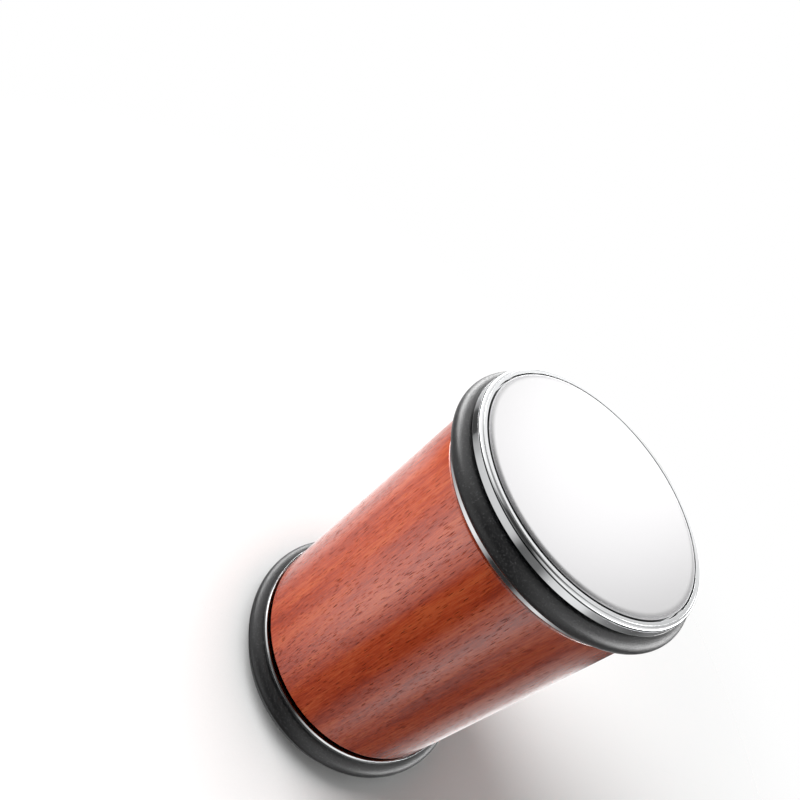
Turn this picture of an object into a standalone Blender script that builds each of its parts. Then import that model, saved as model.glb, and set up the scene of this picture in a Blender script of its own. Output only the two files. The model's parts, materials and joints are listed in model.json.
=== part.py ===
"""Rolling knife sharpener: a wooden grip that turns on ball bearings between two rubber-tyred steel wheels.

Each wheel carries a flat sharpening disc on its outer face: diamond grit below, honing steel above.
The sharpener stands on the diamond disc, centred on the Z axis. Sizes are in metres.
"""

from math import asin, atan2, cos, pi, radians, sin, sqrt, tau

import bmesh
import bpy
from mathutils import Euler, Matrix, Vector

# Fits
SEAT_GAP = 0.0003  # between two pieces that seat on each other
TURNING_GAP = 0.0004  # between a wheel and the grip that turns beside it

# Tyre, a rubber ring with a round crown and a flat base
TYRE_RADIUS = 0.0300
TYRE_HEIGHT = 0.0044  # from its base to its crown
TYRE_STANDS_PROUD = 0.0018  # of the wheel's rim
TYRE_SIDE_GAP = 0.0002
CROWN_HEIGHT = 0.0029  # radial height of the round part

# Wheel, turned from steel
RIM_WIDTH = 0.00215  # from the lip's face to the tyre groove
WALL_TAPER = 0.00025  # how far the rim's wall widens towards the tyre
LIP_CHAMFER = 0.0001
LIP_LAND = 0.00065  # flat ring next to the disc
BEAD_WIDTH = 0.0006  # rounded shoulder outside the land
BEAD_DROP = 0.0003
UNDERCUT = 0.00012  # groove between the bead and the rim's wall
GROOVE_WIDTH = 0.0058
GROOVE_FLOOR_WALL = 0.0015  # between the tyre groove and the recess for the carrier
FLANGE_STEP = 0.0003  # how far the inner flange stays below the rim
FLANGE_THICKNESS = 0.00125
FLANGE_BEVEL_WIDTH = 0.00075  # on the flange's back
FLANGE_BEVEL_DEPTH = 0.00035
BOSS_STEP = 0.0005  # how far the boss stays below the inner race's shoulder

# Sharpening disc, a thin plate bonded to its carrier
DISC_THICKNESS = 0.0013
DISC_EDGE_WIDTH = 0.0010  # how far the rounded edge reaches in from the rim
DISC_EDGE_DROP = 0.0006  # how far it falls below the flat face
DISC_STANDS_PROUD = 0.0002  # of the wheel's lip

# Carrier, whose threaded stud clamps the wheel to the axle
CARRIER_THICKNESS = 0.0025
STUD_RADIUS = 0.0025
STUD_LENGTH = 0.0105
STUD_CHAMFER = 0.0004

# Ball bearing, the common 8 x 22 x 7 mm size
AXLE_RADIUS = 0.0040
BEARING_RADIUS = 0.0110
BEARING_WIDTH_SHARE = 1  # of the section from the axle to the bearing's outside
BALL_COUNT = 7
BALL_RADIUS_SHARE = 0.2835  # of the section
BALL_GAP = 0.0002  # between a ball and its two races
LAND_OFFSET_SHARE = 0.207  # of the section, from the balls' circle to either race's shoulder
RACE_SHARES = (-1, -0.5, 0, 0.5, 1)  # of the ball groove's half angle
SHIELD_THICKNESS = 0.0003
SHIELD_STEP_DEPTH_SHARE = 0.114  # of the section, for the step that holds a shield
SHIELD_STEP_HEIGHT_SHARE = 0.136  # of the section
CAGE_POCKET_GAP = 0.0002
CAGE_LAND_GAP = 0.0004
CAGE_SHIELD_GAP = 0.0003  # between the cage's ring and the shield behind it
CAGE_PRONG = 0.0011  # how far the prongs reach past the balls' centres
CAGE_PRONG_TAPER = 0.00015
POCKET_SHARES = (0, 1 / 3, 2 / 3, 1)  # of a quarter turn round the pocket

# Cup that seats the bearing in the wood, moulded in nylon
CUP_WALL = 0.0022
CUP_FLANGE_STEP = 0.0020  # how far the flange stays below the wood's side
CUP_FLANGE_THICKNESS = 0.0009
BEARING_SETBACK = 0.00105  # of the bearing behind the cup's face
SHOULDER_WIDTH = 0.0020
SHOULDER_THICKNESS = 0.0010

# Wave washer that preloads the bearing
WASHER_THICKNESS = 0.00025
WASHER_WIDTH = 0.0015
WASHER_WAVE = 0.00012  # height of a wave above and below its middle
WASHER_WAVES = 3
WASHER_STEPS = 6  # in each wave

# Axle and the tube that keeps the inner races apart
AXLE_SETBACK = 0.0008  # of the axle's end below the carrier's seat
AXLE_CHAMFER = 0.0004
TAPPED_RUNOUT = 0.0024  # how far the tapped hole runs on past the stud
SPACER_STEP = 0.0001  # how far the tube stays below the inner race's shoulder

# Wooden barrel
BARREL_STEP = 0.0008  # how far the wood stays below the wheel's rim
BARREL_LENGTH = 0.0687
BARREL_EDGE = 0.0005
LOWER_END_SETBACK = 0.0007  # of the wood behind the lower cup's face
BARREL_BORE_GAP = 0.0010  # round the spacer tube

# Facets
OUTER_FACETS = 48
CUP_FACETS = 32
INNER_FACETS = 22
DISC_EDGE_STEPS = 3
BEAD_STEPS = 2
CROWN_STEPS = 6
BALL_SUBDIVISION_COUNT = 2
SMOOTH_ANGLE = radians(28)
WELD = 1e-6

# Angles of an arc on a turned profile
QUARTER_TURN = pi / 2
HALF_TURN = pi

# Radii that follow from the tyre's
TYRE_BASE_RADIUS = TYRE_RADIUS - TYRE_HEIGHT
RIM_RADIUS = TYRE_RADIUS - TYRE_STANDS_PROUD
BEAD_RADIUS = RIM_RADIUS - WALL_TAPER
LAND_RADIUS = BEAD_RADIUS - BEAD_WIDTH
DISC_RECESS_RADIUS = LAND_RADIUS - LIP_LAND - LIP_CHAMFER
DISC_RADIUS = DISC_RECESS_RADIUS - SEAT_GAP
GROOVE_FLOOR_RADIUS = TYRE_BASE_RADIUS - SEAT_GAP
CARRIER_RECESS_RADIUS = GROOVE_FLOOR_RADIUS - GROOVE_FLOOR_WALL
CARRIER_RADIUS = CARRIER_RECESS_RADIUS - SEAT_GAP
FLANGE_RADIUS = RIM_RADIUS - FLANGE_STEP
BARREL_RADIUS = RIM_RADIUS - BARREL_STEP
CUP_FLANGE_RADIUS = BARREL_RADIUS - CUP_FLANGE_STEP

# Radii that follow from the bearing's
BORE_ON_AXLE = AXLE_RADIUS + SEAT_GAP
BEARING_SECTION = BEARING_RADIUS - AXLE_RADIUS
BEARING_WIDTH = BEARING_WIDTH_SHARE * BEARING_SECTION
BALL_CIRCLE_RADIUS = (AXLE_RADIUS + BEARING_RADIUS) / 2
BALL_RADIUS = BALL_RADIUS_SHARE * BEARING_SECTION
LAND_OFFSET = LAND_OFFSET_SHARE * BEARING_SECTION
INNER_LAND_RADIUS = BALL_CIRCLE_RADIUS - LAND_OFFSET
OUTER_LAND_RADIUS = BALL_CIRCLE_RADIUS + LAND_OFFSET
SHIELD_STEP_RADIUS = OUTER_LAND_RADIUS + SHIELD_STEP_HEIGHT_SHARE * BEARING_SECTION
SHIELD_STEP_DEPTH = SHIELD_STEP_DEPTH_SHARE * BEARING_SECTION
BOSS_RADIUS = INNER_LAND_RADIUS - BOSS_STEP
SPACER_RADIUS = INNER_LAND_RADIUS - SPACER_STEP
SEAT_RADIUS = BEARING_RADIUS + SEAT_GAP
CUP_RADIUS = SEAT_RADIUS + CUP_WALL

# Depths below a sharpening disc's face, the same at both ends
CARRIER_FRONT = DISC_THICKNESS + SEAT_GAP
CARRIER_BACK = CARRIER_FRONT + CARRIER_THICKNESS
RECESS_FLOOR = CARRIER_BACK + SEAT_GAP
AXLE_FRONT = RECESS_FLOOR + AXLE_SETBACK
STUD_END = CARRIER_BACK + STUD_LENGTH
TAPPED_FLOOR = STUD_END + TAPPED_RUNOUT
GROOVE_FRONT = DISC_STANDS_PROUD + RIM_WIDTH
GROOVE_BACK = GROOVE_FRONT + GROOVE_WIDTH
WHEEL_BACK = GROOVE_BACK + FLANGE_THICKNESS
CUP_FRONT = WHEEL_BACK + TURNING_GAP
CUP_FLANGE_BACK = CUP_FRONT + CUP_FLANGE_THICKNESS
REBATE_FLOOR = CUP_FLANGE_BACK + SEAT_GAP
LOWER_WOOD_END = CUP_FRONT + LOWER_END_SETBACK
BEARING_FRONT = CUP_FRONT + BEARING_SETBACK
BEARING_MIDDLE = BEARING_FRONT + BEARING_WIDTH / 2
BEARING_BACK = BEARING_FRONT + BEARING_WIDTH
SHIELD_SEAT = BEARING_WIDTH / 2 - SHIELD_STEP_DEPTH + SEAT_GAP  # from the bearing's middle
WASHER_MIDDLE = BEARING_BACK + SEAT_GAP + WASHER_WAVE + WASHER_THICKNESS / 2
SHOULDER_FRONT = WASHER_MIDDLE + WASHER_THICKNESS / 2 + WASHER_WAVE + SEAT_GAP
CUP_BACK = SHOULDER_FRONT + SHOULDER_THICKNESS
COUNTERBORE_FLOOR = CUP_BACK + SEAT_GAP
OVERALL_LENGTH = LOWER_WOOD_END + BARREL_LENGTH + CUP_FRONT

# Finishes: sRGB colour, roughness, metallic
FINISHES = {
    "stained_beech": ("A4492F", 0.42, 0),
    "turned_steel": ("C9CACC", 0.22, 1),
    "honing_steel": ("DCDCDC", 0.3, 1),
    "diamond_grit": ("8E9092", 0.6, 0.6),
    "rubber": ("2B2B2C", 0.7, 0),
    "black_nylon": ("1D1D1E", 0.5, 0),
    "bearing_steel": ("B9BBBE", 0.15, 1),
    "cage_nylon": ("D9CFB4", 0.5, 0),
}


def clear_scene():
    for obj in list(bpy.data.objects):
        bpy.data.objects.remove(obj)


def linear(channel):
    """The sRGB curve, undone."""
    return channel / 12.92 if channel <= 0.04045 else ((channel + 0.055) / 1.055) ** 2.4


def make_finish(name):
    hex_colour, roughness, metallic = FINISHES[name]
    material = bpy.data.materials.new(name)
    material.use_nodes = True
    shader = material.node_tree.nodes["Principled BSDF"]
    red, green, blue = (linear(channel / 255) for channel in bytes.fromhex(hex_colour))
    shader.inputs["Base Color"].default_value = (red, green, blue, 1)
    shader.inputs["Roughness"].default_value = roughness
    shader.inputs["Metallic"].default_value = metallic


def mesh_from(bm, name, finish):
    """Turns a bmesh into a mesh whose faces point out, smooth but for its sharp corners."""
    bmesh.ops.recalc_face_normals(bm, faces=bm.faces)
    mesh = bpy.data.meshes.new(name)
    bm.to_mesh(mesh)
    bm.free()
    mesh.materials.append(bpy.data.materials[finish])
    mesh.shade_smooth()
    mesh.set_sharp_from_angle(angle=SMOOTH_ANGLE)
    return mesh


def turned(name, profile, facets, finish):
    """Spins a profile of (radius, depth) points round Z. One that starts and ends on the axis is a solid disc."""
    bm = bmesh.new()
    points = [bm.verts.new((radius, 0, depth)) for radius, depth in profile]
    pairs = list(zip(points, points[1:]))
    if profile[0][0] > 0:
        pairs.append((points[-1], points[0]))
    edges = [bm.edges.new(pair) for pair in pairs]
    bmesh.ops.spin(
        bm, geom=points + edges, cent=(0, 0, 0), axis=(0, 0, 1), angle=tau, steps=facets, use_merge=True
    )
    bmesh.ops.remove_doubles(bm, verts=bm.verts, dist=WELD)
    return mesh_from(bm, name, finish)


def hooped(name, hoops, finish):
    """Joins a closed row of sections, each a list of (x, y, z) corners, into one ring."""
    bm = bmesh.new()
    rows = [[bm.verts.new(corner) for corner in hoop] for hoop in hoops]
    for row, next_row in zip(rows, rows[1:] + rows[:1]):
        for k in range(len(row)):
            after = (k + 1) % len(row)
            bm.faces.new((row[k], row[after], next_row[after], next_row[k]))
    return mesh_from(bm, name, finish)


def arc(centre, radial, axial, start, stop, steps):
    """Points of an elliptical arc about (radius, depth). Its angle runs from the depth axis to the radius axis."""
    angles = [start + (stop - start) * i / steps for i in range(steps + 1)]
    return [(centre[0] + radial * sin(a), centre[1] + axial * cos(a)) for a in angles]


def end_to_end(lower, upper):
    """A profile of the lower end followed by the upper end's, whose depths count down from the top."""
    return lower + [(radius, OVERALL_LENGTH - depth) for radius, depth in reversed(upper)]


def disc_mesh(name, finish):
    """Flat face, an edge that rolls over, and a flat back."""
    edge_centre = (DISC_RADIUS - DISC_EDGE_WIDTH, DISC_EDGE_DROP)
    edge = arc(edge_centre, DISC_EDGE_WIDTH, DISC_EDGE_DROP, HALF_TURN, QUARTER_TURN, DISC_EDGE_STEPS)
    profile = [(0, 0), *edge, (DISC_RADIUS, DISC_THICKNESS), (0, DISC_THICKNESS)]
    return turned(name, profile, OUTER_FACETS, finish)


def carrier_mesh(name, finish):
    """Backing plate with the stud that screws into the axle."""
    profile = [
        (0, CARRIER_FRONT),
        (CARRIER_RADIUS, CARRIER_FRONT),
        (CARRIER_RADIUS, CARRIER_BACK),
        (STUD_RADIUS, CARRIER_BACK),
        (STUD_RADIUS, STUD_END - STUD_CHAMFER),
        (STUD_RADIUS - STUD_CHAMFER, STUD_END),
        (0, STUD_END),
    ]
    return turned(name, profile, CUP_FACETS, finish)


def wheel_mesh(name, finish):
    """Boss and web, the stepped recess for the disc, the turned lip, and the groove that holds the tyre."""
    lip = DISC_STANDS_PROUD
    bead_foot = lip + BEAD_DROP
    profile = [
        (BORE_ON_AXLE, RECESS_FLOOR),
        (CARRIER_RECESS_RADIUS, RECESS_FLOOR),
        (CARRIER_RECESS_RADIUS, CARRIER_FRONT),
        (DISC_RECESS_RADIUS, CARRIER_FRONT),
        (DISC_RECESS_RADIUS, lip + LIP_CHAMFER),
        (DISC_RECESS_RADIUS + LIP_CHAMFER, lip),
        *arc((LAND_RADIUS, bead_foot), BEAD_WIDTH, BEAD_DROP, HALF_TURN, QUARTER_TURN, BEAD_STEPS),
        (BEAD_RADIUS - UNDERCUT, bead_foot + UNDERCUT),
        (BEAD_RADIUS, bead_foot + 2 * UNDERCUT),
        (RIM_RADIUS, GROOVE_FRONT),
        (GROOVE_FLOOR_RADIUS, GROOVE_FRONT),
        (GROOVE_FLOOR_RADIUS, GROOVE_BACK),
        (FLANGE_RADIUS, GROOVE_BACK),
        (FLANGE_RADIUS, WHEEL_BACK - FLANGE_BEVEL_DEPTH),
        (FLANGE_RADIUS - FLANGE_BEVEL_WIDTH, WHEEL_BACK),
        (BOSS_RADIUS, WHEEL_BACK),
        (BOSS_RADIUS, BEARING_FRONT - SEAT_GAP),
        (BORE_ON_AXLE, BEARING_FRONT - SEAT_GAP),
    ]
    return turned(name, profile, OUTER_FACETS, finish)


def tyre_mesh(name, finish):
    """Round crown on straight sides, with a flat base in the groove."""
    middle = (GROOVE_FRONT + GROOVE_BACK) / 2
    half_width = GROOVE_WIDTH / 2 - TYRE_SIDE_GAP
    crown_centre = (TYRE_RADIUS - CROWN_HEIGHT, middle)
    crown = arc(crown_centre, CROWN_HEIGHT, half_width, 0, HALF_TURN, CROWN_STEPS)
    profile = [*crown, (TYRE_BASE_RADIUS, middle - half_width), (TYRE_BASE_RADIUS, middle + half_width)]
    return turned(name, profile, OUTER_FACETS, finish)


def race_groove(side):
    """The round groove that the balls run in, front to back. side is 1 on the outer race and -1 on the inner one."""
    reach = BALL_RADIUS + BALL_GAP
    half_angle = atan2(sqrt(reach**2 - LAND_OFFSET**2), LAND_OFFSET)
    angles = [half_angle * share for share in RACE_SHARES]
    return [(BALL_CIRCLE_RADIUS + side * reach * cos(a), BEARING_MIDDLE + reach * sin(a)) for a in angles]


def inner_race_mesh(name, finish):
    profile = [
        (BORE_ON_AXLE, BEARING_FRONT),
        (INNER_LAND_RADIUS, BEARING_FRONT),
        *race_groove(-1),
        (INNER_LAND_RADIUS, BEARING_BACK),
        (BORE_ON_AXLE, BEARING_BACK),
    ]
    return turned(name, profile, INNER_FACETS, finish)


def outer_race_mesh(name, finish):
    """Grooved ring with a step at each face for a shield."""
    profile = [
        (BEARING_RADIUS, BEARING_FRONT),
        (SHIELD_STEP_RADIUS, BEARING_FRONT),
        (SHIELD_STEP_RADIUS, BEARING_FRONT + SHIELD_STEP_DEPTH),
        (OUTER_LAND_RADIUS, BEARING_FRONT + SHIELD_STEP_DEPTH),
        *race_groove(1),
        (OUTER_LAND_RADIUS, BEARING_BACK - SHIELD_STEP_DEPTH),
        (SHIELD_STEP_RADIUS, BEARING_BACK - SHIELD_STEP_DEPTH),
        (SHIELD_STEP_RADIUS, BEARING_BACK),
        (BEARING_RADIUS, BEARING_BACK),
    ]
    return turned(name, profile, INNER_FACETS, finish)


def shield_mesh(name, side, finish):
    """Thin washer in the outer race's step, clear of the inner race. side is -1 at the front and 1 at the back."""
    inside = INNER_LAND_RADIUS + SEAT_GAP
    outside = SHIELD_STEP_RADIUS - SEAT_GAP
    near = BEARING_MIDDLE + side * SHIELD_SEAT
    far = near + side * SHIELD_THICKNESS
    profile = [(inside, near), (outside, near), (outside, far), (inside, far)]
    return turned(name, profile, INNER_FACETS, finish)


def cage_mesh(name, finish):
    """Crown cage: a ring behind the balls, with a round pocket for each ball and a prong between pockets."""
    pocket = BALL_RADIUS + CAGE_POCKET_GAP
    inside = INNER_LAND_RADIUS + CAGE_LAND_GAP
    outside = OUTER_LAND_RADIUS - CAGE_LAND_GAP
    back = BEARING_MIDDLE + SHIELD_SEAT - CAGE_SHIELD_GAP
    angles = [QUARTER_TURN * share for share in POCKET_SHARES]
    right_half = [(pocket * sin(a), BEARING_MIDDLE + pocket * cos(a)) for a in angles]
    right_half.append((pocket + CAGE_PRONG_TAPER, BEARING_MIDDLE - CAGE_PRONG))
    outline = [(-sideways, depth) for sideways, depth in reversed(right_half[1:])] + right_half
    hoops = []
    for ball in range(BALL_COUNT):
        for sideways, depth in outline:
            hoop = []
            for radius, level in ((inside, back), (outside, back), (outside, depth), (inside, depth)):
                angle = tau * ball / BALL_COUNT + asin(sideways / radius)
                hoop.append((radius * cos(angle), radius * sin(angle), level))
            hoops.append(hoop)
    return hooped(name, hoops, finish)


def ball_mesh(name, finish):
    bm = bmesh.new()
    bmesh.ops.create_icosphere(bm, subdivisions=BALL_SUBDIVISION_COUNT, radius=BALL_RADIUS)
    return mesh_from(bm, name, finish)


def washer_mesh(name, finish):
    """Thin ring bent into waves."""
    outside = BEARING_RADIUS - SEAT_GAP
    inside = outside - WASHER_WIDTH
    columns = WASHER_WAVES * WASHER_STEPS
    hoops = []
    for column in range(columns):
        angle = tau * column / columns
        middle = WASHER_MIDDLE + WASHER_WAVE * cos(WASHER_WAVES * angle)
        front = middle - WASHER_THICKNESS / 2
        back = middle + WASHER_THICKNESS / 2
        section = ((inside, front), (outside, front), (outside, back), (inside, back))
        hoops.append([(radius * cos(angle), radius * sin(angle), depth) for radius, depth in section])
    return hooped(name, hoops, finish)


def cup_mesh(name, finish):
    """Socket for the bearing, with a flange let into the end grain and a shoulder behind the washer."""
    profile = [
        (SEAT_RADIUS, CUP_FRONT),
        (CUP_FLANGE_RADIUS, CUP_FRONT),
        (CUP_FLANGE_RADIUS, CUP_FLANGE_BACK),
        (CUP_RADIUS, CUP_FLANGE_BACK),
        (CUP_RADIUS, CUP_BACK),
        (SEAT_RADIUS - SHOULDER_WIDTH, CUP_BACK),
        (SEAT_RADIUS - SHOULDER_WIDTH, SHOULDER_FRONT),
        (SEAT_RADIUS, SHOULDER_FRONT),
    ]
    return turned(name, profile, CUP_FACETS, finish)


def axle_mesh(name, finish):
    """Plain shaft, tapped at both ends for the carriers' studs."""
    tapped_radius = STUD_RADIUS + SEAT_GAP
    tapped_end = [
        (0, TAPPED_FLOOR),
        (tapped_radius, TAPPED_FLOOR),
        (tapped_radius, AXLE_FRONT),
        (AXLE_RADIUS - AXLE_CHAMFER, AXLE_FRONT),
        (AXLE_RADIUS, AXLE_FRONT + AXLE_CHAMFER),
    ]
    return turned(name, end_to_end(tapped_end, tapped_end), INNER_FACETS, finish)


def spacer_mesh(name, finish):
    front = BEARING_BACK + SEAT_GAP
    plain_end = [(BORE_ON_AXLE, front), (SPACER_RADIUS, front)]
    return turned(name, end_to_end(plain_end, plain_end), INNER_FACETS, finish)


def barrel_end(wood_end):
    """From the bore out: counterbore and rebate for a bearing cup, then the wood's end and its bevelled edge."""
    counterbore = CUP_RADIUS + SEAT_GAP
    rebate = CUP_FLANGE_RADIUS + SEAT_GAP
    return [
        (SPACER_RADIUS + BARREL_BORE_GAP, COUNTERBORE_FLOOR),
        (counterbore, COUNTERBORE_FLOOR),
        (counterbore, REBATE_FLOOR),
        (rebate, REBATE_FLOOR),
        (rebate, wood_end),
        (BARREL_RADIUS - BARREL_EDGE, wood_end),
        (BARREL_RADIUS, wood_end + BARREL_EDGE),
    ]


def barrel_mesh(name, finish):
    """Turned wood with a through bore. It is level with the upper cup's face and stops short of the lower one's."""
    return turned(name, end_to_end(barrel_end(LOWER_WOOD_END), barrel_end(CUP_FRONT)), OUTER_FACETS, finish)


def body(name):
    """An empty on the axis that carries the pieces that move as one."""
    empty = bpy.data.objects.new(name, None)
    bpy.context.scene.collection.objects.link(empty)
    return empty


def add(name, mesh, carried_by, place=Matrix()):
    piece = bpy.data.objects.new(name, mesh)
    bpy.context.scene.collection.objects.link(piece)
    piece.parent = carried_by
    piece.matrix_local = place


def build():
    clear_scene()
    for name in FINISHES:
        make_finish(name)
    wheelset = body("wheelset_axis")
    grip = body("grip_axis")
    add("axle", axle_mesh("axle", "turned_steel"), wheelset)
    add("spacer_tube", spacer_mesh("spacer_tube", "turned_steel"), wheelset)
    add("wood_barrel", barrel_mesh("wood_barrel", "stained_beech"), grip)

    wheel = wheel_mesh("wheel", "turned_steel")
    tyre = tyre_mesh("tyre", "rubber")
    carrier = carrier_mesh("disc_carrier", "turned_steel")
    cup = cup_mesh("bearing_cup", "black_nylon")
    washer = washer_mesh("wave_washer", "bearing_steel")
    outer_race = outer_race_mesh("outer_race", "bearing_steel")
    inner_race = inner_race_mesh("inner_race", "bearing_steel")
    front_shield = shield_mesh("front_shield", -1, "bearing_steel")
    back_shield = shield_mesh("back_shield", 1, "bearing_steel")
    cage = cage_mesh("ball_cage", "cage_nylon")
    ball = ball_mesh("ball", "bearing_steel")

    upside_down = Matrix.LocRotScale(Vector((0, 0, OVERALL_LENGTH)), Euler((HALF_TURN, 0, 0)), None)
    ends = (
        ("lower", Matrix(), "diamond_disc", "diamond_grit"),
        ("upper", upside_down, "honing_disc", "honing_steel"),
    )
    for end, place, disc_name, disc_finish in ends:
        add(disc_name, disc_mesh(disc_name, disc_finish), wheelset, place)
        add(disc_name + "_carrier", carrier, wheelset, place)
        add(end + "_wheel", wheel, wheelset, place)
        add(end + "_tyre", tyre, wheelset, place)
        add(end + "_inner_race", inner_race, wheelset, place)
        add(end + "_outer_race", outer_race, grip, place)
        add(end + "_front_shield", front_shield, grip, place)
        add(end + "_back_shield", back_shield, grip, place)
        add(end + "_wave_washer", washer, grip, place)
        add(end + "_bearing_cup", cup, grip, place)

        ball_train = body(end + "_ball_train_axis")
        add(end + "_ball_cage", cage, ball_train, place)
        for number in range(BALL_COUNT):
            angle = tau * number / BALL_COUNT
            on_circle = Vector((cos(angle), sin(angle), 0)) * BALL_CIRCLE_RADIUS
            centre = Matrix.Translation(on_circle + Vector((0, 0, BEARING_MIDDLE)))
            add(f"{end}_ball_{number + 1}", ball, ball_train, place @ centre)


build()
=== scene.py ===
# Rolling knife sharpener: the fine forms and the finishes of its pieces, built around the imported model.
# Lengths in the dictionaries are in millimetres, and mm turns them to the scene's metres.

import json
import math

import bmesh
import bpy
import numpy as np
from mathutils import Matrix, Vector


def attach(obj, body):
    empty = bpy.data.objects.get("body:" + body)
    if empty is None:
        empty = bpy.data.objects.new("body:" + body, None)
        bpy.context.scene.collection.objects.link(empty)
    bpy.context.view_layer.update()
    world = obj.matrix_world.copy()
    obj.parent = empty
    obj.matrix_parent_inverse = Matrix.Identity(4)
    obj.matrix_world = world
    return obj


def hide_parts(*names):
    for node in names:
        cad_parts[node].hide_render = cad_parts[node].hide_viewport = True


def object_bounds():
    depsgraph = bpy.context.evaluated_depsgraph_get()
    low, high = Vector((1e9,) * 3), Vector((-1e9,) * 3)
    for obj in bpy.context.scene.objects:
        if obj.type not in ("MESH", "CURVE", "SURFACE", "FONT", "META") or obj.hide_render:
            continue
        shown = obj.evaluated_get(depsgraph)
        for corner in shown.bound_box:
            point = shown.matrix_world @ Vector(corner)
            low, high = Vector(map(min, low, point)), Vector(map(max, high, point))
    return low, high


mm = 0.001

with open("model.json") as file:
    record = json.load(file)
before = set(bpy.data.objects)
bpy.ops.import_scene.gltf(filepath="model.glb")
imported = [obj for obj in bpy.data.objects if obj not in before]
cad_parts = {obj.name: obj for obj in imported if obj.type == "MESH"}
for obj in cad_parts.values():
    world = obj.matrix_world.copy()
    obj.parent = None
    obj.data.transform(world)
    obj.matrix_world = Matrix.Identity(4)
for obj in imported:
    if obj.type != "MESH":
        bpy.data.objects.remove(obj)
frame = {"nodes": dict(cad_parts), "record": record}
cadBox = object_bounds()
overallLength = cadBox[1].z / mm
print("frame loaded, length", round(overallLength, 2), "mm")


def toLinear(hexColour):
    # the sRGB curve undone for each of the three channels, with an alpha of 1 at the end
    channels = np.array(list(bytes.fromhex(hexColour))) / 255
    curve = np.where(channels <= 0.04045, channels / 12.92, ((channels + 0.055) / 1.055) ** 2.4)
    return (*curve.tolist(), 1.0)


def addNode(tree, kind, settings=None, **inputs):
    # One node with its settings. An input is named by its number, as _2, or by its name with _ for a space.
    # An input that is a socket gets a link, and any other gets that value.
    node = tree.nodes.new(kind)
    for setting, value in (settings or {}).items():
        setattr(node, setting, value)
    for key, value in inputs.items():
        number = key[1:]
        socket = node.inputs[int(number)] if number.isdigit() else node.inputs[key.replace("_", " ")]
        if isinstance(value, bpy.types.NodeSocket):
            tree.links.new(value, socket)
        else:
            socket.default_value = value
    return node


# settings that many nodes share
mixColours = {"data_type": "RGBA"}
mixNumbers = {"data_type": "FLOAT"}
softStep = {"interpolation_type": "SMOOTHSTEP"}
times = {"operation": "MULTIPLY"}
isAbove = {"operation": "GREATER_THAN"}
vectorLength = {"operation": "LENGTH"}
dotProduct = {"operation": "DOT_PRODUCT"}
noiseLow, noiseHigh = 0.3, 0.7  # nearly all of a noise's values lie between these


def newMaterial(name):
    material = bpy.data.materials.new(name)
    material.use_nodes = True
    tree = material.node_tree
    tree.nodes.clear()
    return material, tree


def finishMaterial(tree, shader):
    addNode(tree, "ShaderNodeOutputMaterial", Surface=shader)


lathe = {
    "segments": 192,  # round the axis
    "arcSteps": 5,  # in each rounded corner
    "fineSteps": 2,  # the same on profiles whose curves already have many corners
    "bendPoints": 9,  # on a quarter of an ellipse
    "crownPoints": 33,  # across a tyre
    "fineRounding": 0.02,
    "hold": 0.04,  # from an arc's end to the point that keeps the flat flat
    "holdShare": 0.3,  # and at most this share of the corner's shorter side
    "weld": 0.0001,  # points closer than this become one
}


def roundedProfile(corners, closed, steps):
    # Each corner (radius, depth, rounding) becomes an arc that touches both of its sides. Its centre lies on
    # the line that halves the corner, and the arc turns evenly from one side to the other. One point more
    # on each side keeps the flats flat in smooth shading. The ends of an open profile stay as they are.
    points = corners[:, :2]
    inner = points if closed else points[1:-1]
    rounding = corners[:, 2] if closed else corners[1:-1, 2]
    before = np.roll(points, 1, 0) if closed else points[:-2]
    after = np.roll(points, -1, 0) if closed else points[2:]
    backLength = np.linalg.norm(before - inner, axis=1)
    aheadLength = np.linalg.norm(after - inner, axis=1)
    back = (before - inner) / backLength[:, None]
    ahead = (after - inner) / aheadLength[:, None]
    half = np.arccos(np.clip((back * ahead).sum(1), -1, 1)) / 2
    reach = (rounding / np.tan(half))[:, None]
    bisector = back + ahead
    bisector /= np.linalg.norm(bisector, axis=1, keepdims=True)
    centre = inner + bisector * (rounding / np.sin(half))[:, None]
    first = (inner + back * reach - centre) / rounding[:, None]
    last = (inner + ahead * reach - centre) / rounding[:, None]
    sweep = (math.pi - 2 * half)[:, None, None]
    share = np.linspace(0, 1, steps + 1)[None, :, None]
    fromFirst = np.sin((1 - share) * sweep) * first[:, None]
    toLast = np.sin(share * sweep) * last[:, None]
    arcs = centre[:, None] + (fromFirst + toLast) / np.sin(sweep) * rounding[:, None, None]
    hold = np.minimum(lathe["hold"], lathe["holdShare"] * np.minimum(backLength, aheadLength))[:, None]
    start = inner + back * (reach + hold)
    stop = inner + ahead * (reach + hold)
    rows = np.concatenate([start[:, None], arcs, stop[:, None]], 1).reshape(-1, 2)
    return rows if closed else np.concatenate([points[:1], rows, points[-1:]])


def turned(name, corners, closed=True, upper=False, steps=lathe["arcSteps"]):
    # A lathe: the point at angle a of profile row (r, z) is (r cos a, r sin a, z). At the upper end the depth
    # is counted down from the top face. Rows on the axis close to one point.
    rows = roundedProfile(np.array(corners, float), closed, steps) * mm
    if upper:
        rows = np.stack([rows[:, 0], overallLength * mm - rows[:, 1]], 1)
    angle = np.linspace(0, 2 * math.pi, lathe["segments"], endpoint=False)
    x = rows[:, None, 0] * np.cos(angle)
    y = rows[:, None, 0] * np.sin(angle)
    z = np.broadcast_to(rows[:, None, 1], x.shape)
    return meshFromGrid(name, np.stack([x, y, z], -1), closed)


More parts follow.
